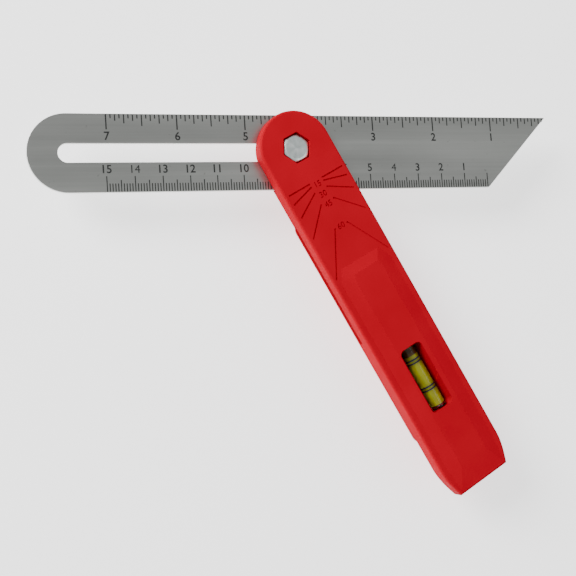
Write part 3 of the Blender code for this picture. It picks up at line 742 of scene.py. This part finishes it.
# ---------------------------------------------------------------- vial
def make_vial():
    foot = VIAL_CENTRE_Y - VIAL_LENGTH / 2
    head = VIAL_CENTRE_Y + VIAL_LENGTH / 2
    radius = VIAL_DIAMETER / 2
    bore = radius - VIAL_WALL
    mouth = head - 0.0015
    floor = foot + 0.0015
    round_end = [(radius - 0.001 + 0.001 * math.cos(turn), foot + 0.001 - 0.001 * math.sin(turn))
                 for turn in [math.pi / 2 * step / 6 for step in range(7)]]
    tube = new_piece("vial_tube_visual", along_vial(turned_mesh(
        "vial_tube_visual", [(0, floor), (bore - 0.0004, floor), (bore, floor + 0.0004), (bore, mouth),
                             (radius, mouth)] + round_end + [(0, foot)], 96)))
    shade(tube)
    tube.data.transform(HANDLE_TURN)
    dress(tube, CLEAR, "handle", ("vial_tube",))

    plug = new_piece("vial_plug_visual", along_vial(turned_mesh(
        "vial_plug_visual", [(0, head), (radius - 0.0003, head), (radius, head - 0.0003),
                             (radius, head - 0.0012),
                             (bore - 0.0001, head - 0.0012), (bore - 0.0001, mouth - 0.0018),
                             (0, mouth - 0.0018)], 96)))
    shade(plug)
    plug.data.transform(HANDLE_TURN)
    dress(plug, CLEAR, "handle", ("vial_plug",))

    liquid_radius = bore + 0.00002      # wets the tube, so the tube magnifies it to its full width
    liquid_low = floor + 0.0001
    liquid_high = mouth - 0.0019
    liquid = new_piece("vial_liquid_visual", along_vial(turned_mesh(
        "vial_liquid_visual", [(0, liquid_high), (liquid_radius, liquid_high),
                               (liquid_radius, liquid_low + 0.0004),
                               (liquid_radius - 0.0004, liquid_low), (0, liquid_low)], 96)))
    shade(liquid)
    liquid.data.transform(HANDLE_TURN)
    dress(liquid, LIQUID, "handle", ("vial_liquid",))

    bubble_low, bubble_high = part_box("vial_bubble")
    middle = Vector([(low + high) / 2 for low, high in zip(bubble_low, bubble_high)])
    middle = HANDLE_TURN.inverted() @ middle
    length = 0.0072
    bubble_radius = liquid_radius + 0.00006
    steps = 12
    profile = []
    for step in range(steps + 1):
        turn = math.pi * step / steps
        flat = math.copysign(abs(math.cos(turn)) ** 0.6, math.cos(turn))
        profile.append((bubble_radius * abs(math.sin(turn)) ** 0.6, middle.y + length / 2 * flat))
    bubble = new_piece("vial_bubble_visual", along_vial(turned_mesh("vial_bubble_visual", profile, 64)))
    shade(bubble, 80)
    bubble.data.transform(HANDLE_TURN)
    dress(bubble, BUBBLE_PAINTED_SHADE, "bubble", ("vial_bubble",))

    line_radius = radius + 0.00003
    inner_radius = radius - 0.00002
    meshes = []
    for side in (-1, 1):
        for line in (-0.5, 0.5):
            y = LEVEL_LINE_MIDDLE_Y + side * LEVEL_LINE_OFFSET + line * LEVEL_LINE_GAP
            high_y = y + LEVEL_LINE_WIDTH / 2
            low_y = y - LEVEL_LINE_WIDTH / 2
            ring = turned_mesh("ring", [(inner_radius, high_y), (line_radius, high_y),
                                        (line_radius, low_y), (inner_radius, low_y)], 96, closed=True)
            meshes.append((along_vial(ring), Matrix()))
    lines = new_piece("vial_level_lines", joined("vial_level_lines", meshes))
    shade(lines)
    lines.data.transform(HANDLE_TURN)
    dress(lines, INK, "handle")


# ---------------------------------------------------------------- blade
def make_blade():
    half = BLADE_WIDTH / 2
    round_centre = (blade_low[0] + half, BLADE_MIDDLE_Y)
    outline = [(BLADE_TIP_X - BLADE_WIDTH, blade_low[1]), (BLADE_TIP_X, blade_high[1])]
    outline += arc(round_centre, half, 90, 270, 72)
    blade = new_piece("blade_visual", plate_mesh("blade_visual", outline, BLADE_BACK_Z, BLADE_FRONT_Z))
    slot_half = SLOT_WIDTH / 2
    left = blade_low[0] + SLOT_START_FROM_END + slot_half
    slot = arc((left, BLADE_MIDDLE_Y), slot_half, 90, 270, 32)
    slot += arc((SLOT_INNER_END_X - slot_half, BLADE_MIDDLE_Y), slot_half, -90, 90, 32)
    boolean(blade, plate_mesh("slot", slot, BLADE_BACK_Z - 0.001, BLADE_FRONT_Z + 0.001), 'DIFFERENCE')
    soften(blade, 0.00014, 2)
    shade(blade)
    dress(blade, STEEL, "blade", ("blade",))


def scale_mark(x, edge_y, length, width):
    """One etched line that starts at a blade edge and runs inwards."""
    inwards = -1 if edge_y > BLADE_MIDDLE_Y else 1
    start = edge_y + inwards * SCALE_MARK_INSET
    low_y, high_y = sorted((start, edge_y + inwards * length))
    return box_mesh("mark", (x - width / 2, low_y, BLADE_FRONT_Z - ETCH_THICKNESS / 2),
                    (x + width / 2, high_y, BLADE_FRONT_Z + ETCH_THICKNESS / 2))


def number_weight(number):
    """How much bolder than the plain font; a 4 has a small hole that a bold outline would fill."""
    return 0.0 if "4" in str(number) else 0.022


def make_scales():
    inch_edge, centimetre_edge = blade_high[1], blade_low[1]
    meshes = []
    sixteenths = 16 * 7
    for count in range(1, sixteenths + 1):
        x = INCH_ZERO_X - INCH * count / 16
        length = next(INCH_MARK_LENGTHS[step] for step in INCH_MARK_LENGTHS if count % step == 0)
        width = INCH_MARK_WIDTH if count % 16 else WHOLE_INCH_MARK_WIDTH
        meshes.append((scale_mark(x, inch_edge, length, width), Matrix()))
    for count in range(0, 151):
        x = CENTIMETRE_ZERO_X - count * MM
        length = MILLIMETRE_MARK_LENGTH
        if count % 10 == 0:
            length = CENTIMETRE_MARK_LENGTH
        elif count % 5 == 0:
            length = HALF_CENTIMETRE_MARK_LENGTH
        meshes.append((scale_mark(x, centimetre_edge, length, MILLIMETRE_MARK_WIDTH), Matrix()))
    for inch in range(1, 8):
        place = (INCH_ZERO_X - INCH * inch, inch_edge - INCH_NUMBER_INSET, BLADE_FRONT_Z)
        number = number_mesh(str(inch), INCH_NUMBER_HEIGHT, ETCH_THICKNESS, number_weight(inch))
        meshes.append((number, Matrix.Translation(place)))
    for centimetre in range(1, 16):
        place = (CENTIMETRE_ZERO_X - centimetre * 10 * MM, centimetre_edge + CENTIMETRE_NUMBER_INSET,
                 BLADE_FRONT_Z)
        number = number_mesh(str(centimetre), CENTIMETRE_NUMBER_HEIGHT, ETCH_THICKNESS,
                             number_weight(centimetre))
        meshes.append((number, Matrix.Translation(place)))
    scales = new_piece("blade_scales", joined("blade_scales", meshes))
    dress(scales, ETCH, "blade")


# ---------------------------------------------------------------- clamp
def thread_mesh(name, radius, high_z, low_z, pitch=0.001, depth=0.00055, segments=48):
    """An outside thread: the radius falls and rises once each pitch along a helix."""
    rows_per_pitch = 8
    rows = int((high_z - low_z) / pitch * rows_per_pitch)
    shape = bmesh.new()
    rings = []
    for row in range(rows + 1):
        z = high_z - (high_z - low_z) * row / rows
        ring = []
        for segment in range(segments):
            angle = 2 * math.pi * segment / segments
            phase = (z / pitch - segment / segments) % 1.0
            groove = depth * abs(2 * phase - 1)
            fade = min(1.0, (high_z - z) / 0.001)
            here = radius - groove * fade
            if z - low_z < 0.0007:
                here = min(here, radius - 0.0007 + (z - low_z))
            ring.append(shape.verts.new((here * math.cos(angle), here * math.sin(angle), z)))
        rings.append(ring)
    for upper, lower in zip(rings, rings[1:]):
        for segment in range(segments):
            after = (segment + 1) % segments
            shape.faces.new((upper[segment], lower[segment], lower[after], upper[after]))
    shape.faces.new(rings[0])
    shape.faces.new(list(reversed(rings[-1])))
    return finish_mesh(name, shape)


def make_clamp_bolt():
    head_radius = BOLT_HEAD_FLATS / math.sqrt(3)
    turn_to_recess = math.radians(-3)
    corners = hexagon(head_radius, turn_to_recess)
    bolt = new_piece("clamp_bolt_visual", plate_mesh("clamp_bolt_visual", corners, -BOLT_HEAD_HEIGHT, 0))
    face_radius = BOLT_HEAD_FLATS / 2 - 0.0009
    blank_radius = BOLT_HEAD_CORNER_RADIUS
    dome = [(0, 0), (face_radius, 0), (face_radius + 0.00035, -0.00006), (face_radius + 0.0007, -0.0002),
            (blank_radius, -0.00045), (blank_radius, -BOLT_HEAD_HEIGHT - 0.001),
            (0, -BOLT_HEAD_HEIGHT - 0.001)]
    boolean(bolt, turned_mesh("dome", dome, 96), 'INTERSECT')
    soften(bolt, 0.00012, 2, 20)
    shade(bolt, 40)
    thread_start = -BOLT_HEAD_HEIGHT + 0.0002
    shank = new_piece("bolt_thread", thread_mesh("bolt_thread", BOLT_DIAMETER / 2, thread_start, bolt_low[2]))
    shank.data.shade_smooth()
    for piece in (bolt, shank):
        piece.data.transform(HANDLE_TURN)
        dress(piece, ZINC_HEAD_PAINTED_LIGHT if piece is bolt else ZINC, "handle", ("clamp_bolt",))


def ring_piece(name, low, high, bore, bevel):
    outer = (high[0] - low[0]) / 2
    profile = [(bore, high[2]), (outer, high[2]), (outer, low[2]), (bore, low[2])]
    piece = new_piece(name, turned_mesh(name, profile, 72, closed=True))
    soften(piece, bevel, 2)
    shade(piece)
    return piece


def make_washers():
    bore = BOLT_DIAMETER / 2 + 0.0003
    dress(ring_piece("friction_washer_visual", friction_washer_low, friction_washer_high, bore, 0.0001),
          FIBRE, "pivot_washer", ("friction_washer",))
    dress(ring_piece("flat_washer_visual", flat_washer_low, flat_washer_high, bore, 0.00015),
          ZINC, "clamp_washer", ("flat_washer",))


def make_wing_nut():
    """Cast nut: hub and wings blended together, then the bore cut through."""
    seat = nut_high[2]
    wing_height = seat - nut_low[2]
    span = 0.0264
    ear = 0.0042
    hub_profile = [(0, seat), (0.0059, seat), (0.0059, seat - 0.0006), (0.0048, seat - 0.0055),
                   (0, seat - 0.0055)]
    hub = new_piece("wing_nut_visual", turned_mesh("wing_nut_visual", hub_profile))
    right = [(span / 2 * 0.42, 0.0012)] + arc((span / 2 - ear, wing_height - ear), ear, -50, 120, 20)
    right.append((0.0048, wing_height * 0.40))
    outline = right + [(-x, y) for x, y in reversed(right)]
    wings = plate_mesh("wings", outline, -0.001, 0.001)
    wings.transform(Matrix.Translation((0, 0, seat)) @ Matrix.Rotation(math.radians(90), 4, 'Z')
                    @ Matrix.Rotation(math.radians(-90), 4, 'X'))
    boolean(hub, wings, 'UNION')
    remesh = hub.modifiers.new("one_casting", 'REMESH')
    remesh.mode = 'VOXEL'
    remesh.voxel_size = 0.00028
    smooth = hub.modifiers.new("cast_fillets", 'SMOOTH')
    smooth.factor = 0.5
    smooth.iterations = 8
    apply_modifiers(hub)
    bore = BOLT_DIAMETER / 2 + 0.0002
    mouth = bore + 0.0006
    bore_profile = [(0, seat + 0.001), (mouth, seat + 0.001), (mouth, seat - 0.00005),
                    (bore, seat - 0.0006),
                    (bore, seat - 0.0052), (mouth, seat - 0.0057), (mouth, seat - 0.007), (0, seat - 0.007)]
    boolean(hub, turned_mesh("bore", bore_profile), 'DIFFERENCE')
    hub.data.shade_smooth()
    hub.data.set_sharp_from_angle(angle=math.radians(50))
    hub.data.transform(HANDLE_TURN)
    dress(hub, ZINC_CAST, "wing_nut", ("wing_nut",))


# ---------------------------------------------------------------- camera, floor and light
def make_camera():
    place = Vector((-0.1313, -0.0805, 0.3602))
    aim = Vector((-0.0072, -0.0513, 0.0))
    roll = math.radians(4.14)
    camera = bpy.data.objects.new("camera", bpy.data.cameras.new("camera"))
    bpy.context.scene.collection.objects.link(camera)
    camera.data.lens = 66.29
    camera.data.sensor_width = 36
    camera.data.clip_start = 0.01
    back = (place - aim).normalized()
    right = Vector((0, 1, 0)).cross(back).normalized()
    up = back.cross(right)
    turned_up = up * math.cos(roll) + right * math.sin(roll)
    turned_right = right * math.cos(roll) - up * math.sin(roll)
    camera.matrix_world = Matrix((
        (turned_right.x, turned_up.x, back.x, place.x),
        (turned_right.y, turned_up.y, back.y, place.y),
        (turned_right.z, turned_up.z, back.z, place.z),
        (0, 0, 0, 1)))
    bpy.context.scene.camera = camera


def make_floor():
    nodes = Nodes("floor")
    nodes.put(colour=(0.96, 0.96, 0.96), rough=0.95, specular=0.05, glow=1.5, glow_colour=(1, 1, 1))
    floor_z = cad_box[0][2] - FLOOR_GAP
    disc = plate_mesh("floor", arc((0, 0), 3.0, 0, 345, 23), floor_z - 0.001, floor_z)
    floor = bpy.data.objects.new("floor", disc)
    bpy.context.scene.collection.objects.link(floor)
    floor.data.materials.append(nodes.material)


def area_light(name, place, size, power, colour=(1, 1, 1)):
    light = bpy.data.lights.new(name, 'AREA')
    light.shape = 'DISK'
    light.size = size
    light.energy = power
    light.color = colour
    lamp = bpy.data.objects.new(name, light)
    bpy.context.scene.collection.objects.link(lamp)
    lamp.location = place
    lamp.rotation_euler = (Vector((0, -0.04, 0)) - Vector(place)).to_track_quat('-Z', 'Y').to_euler()


def make_light():
    world = bpy.data.worlds.new("studio")
    bpy.context.scene.world = world
    world.use_nodes = True
    world.node_tree.nodes["Background"].inputs["Color"].default_value = (1, 1, 1, 1)
    world.node_tree.nodes["Background"].inputs["Strength"].default_value = 0.45
    area_light("key", (-0.9, 0.45, 0.65), 0.6, 21)
    area_light("fill", (0.8, -0.4, 1.0), 0.9, 2)


# ---------------------------------------------------------------- the tool
RED = red_plastic()
STEEL = blade_steel()
ETCH = etched_black()
ZINC = zinc("zinc_visual")
# The bolt head's zinc is much paler than the same plating on its thread: painted light on the head's face.
ZINC_HEAD_PAINTED_LIGHT = zinc("zinc_head_painted_light_visual", (0.95, 1.0, 0.99), (0.78, 0.87, 0.85))
ZINC_CAST = zinc("zinc_cast_visual", (0.52, 0.56, 0.55), (0.38, 0.42, 0.41))
FIBRE = fibre()
CLEAR = clear_plastic()
LIQUID = level_liquid()
BUBBLE_PAINTED_SHADE = air_bubble()
INK = etched_black()

make_front_shell()
make_back_shell()
make_case_screws()
make_vial()
make_blade()
make_scales()
make_clamp_bolt()
make_washers()
make_wing_nut()
make_camera()
make_floor()
make_light()
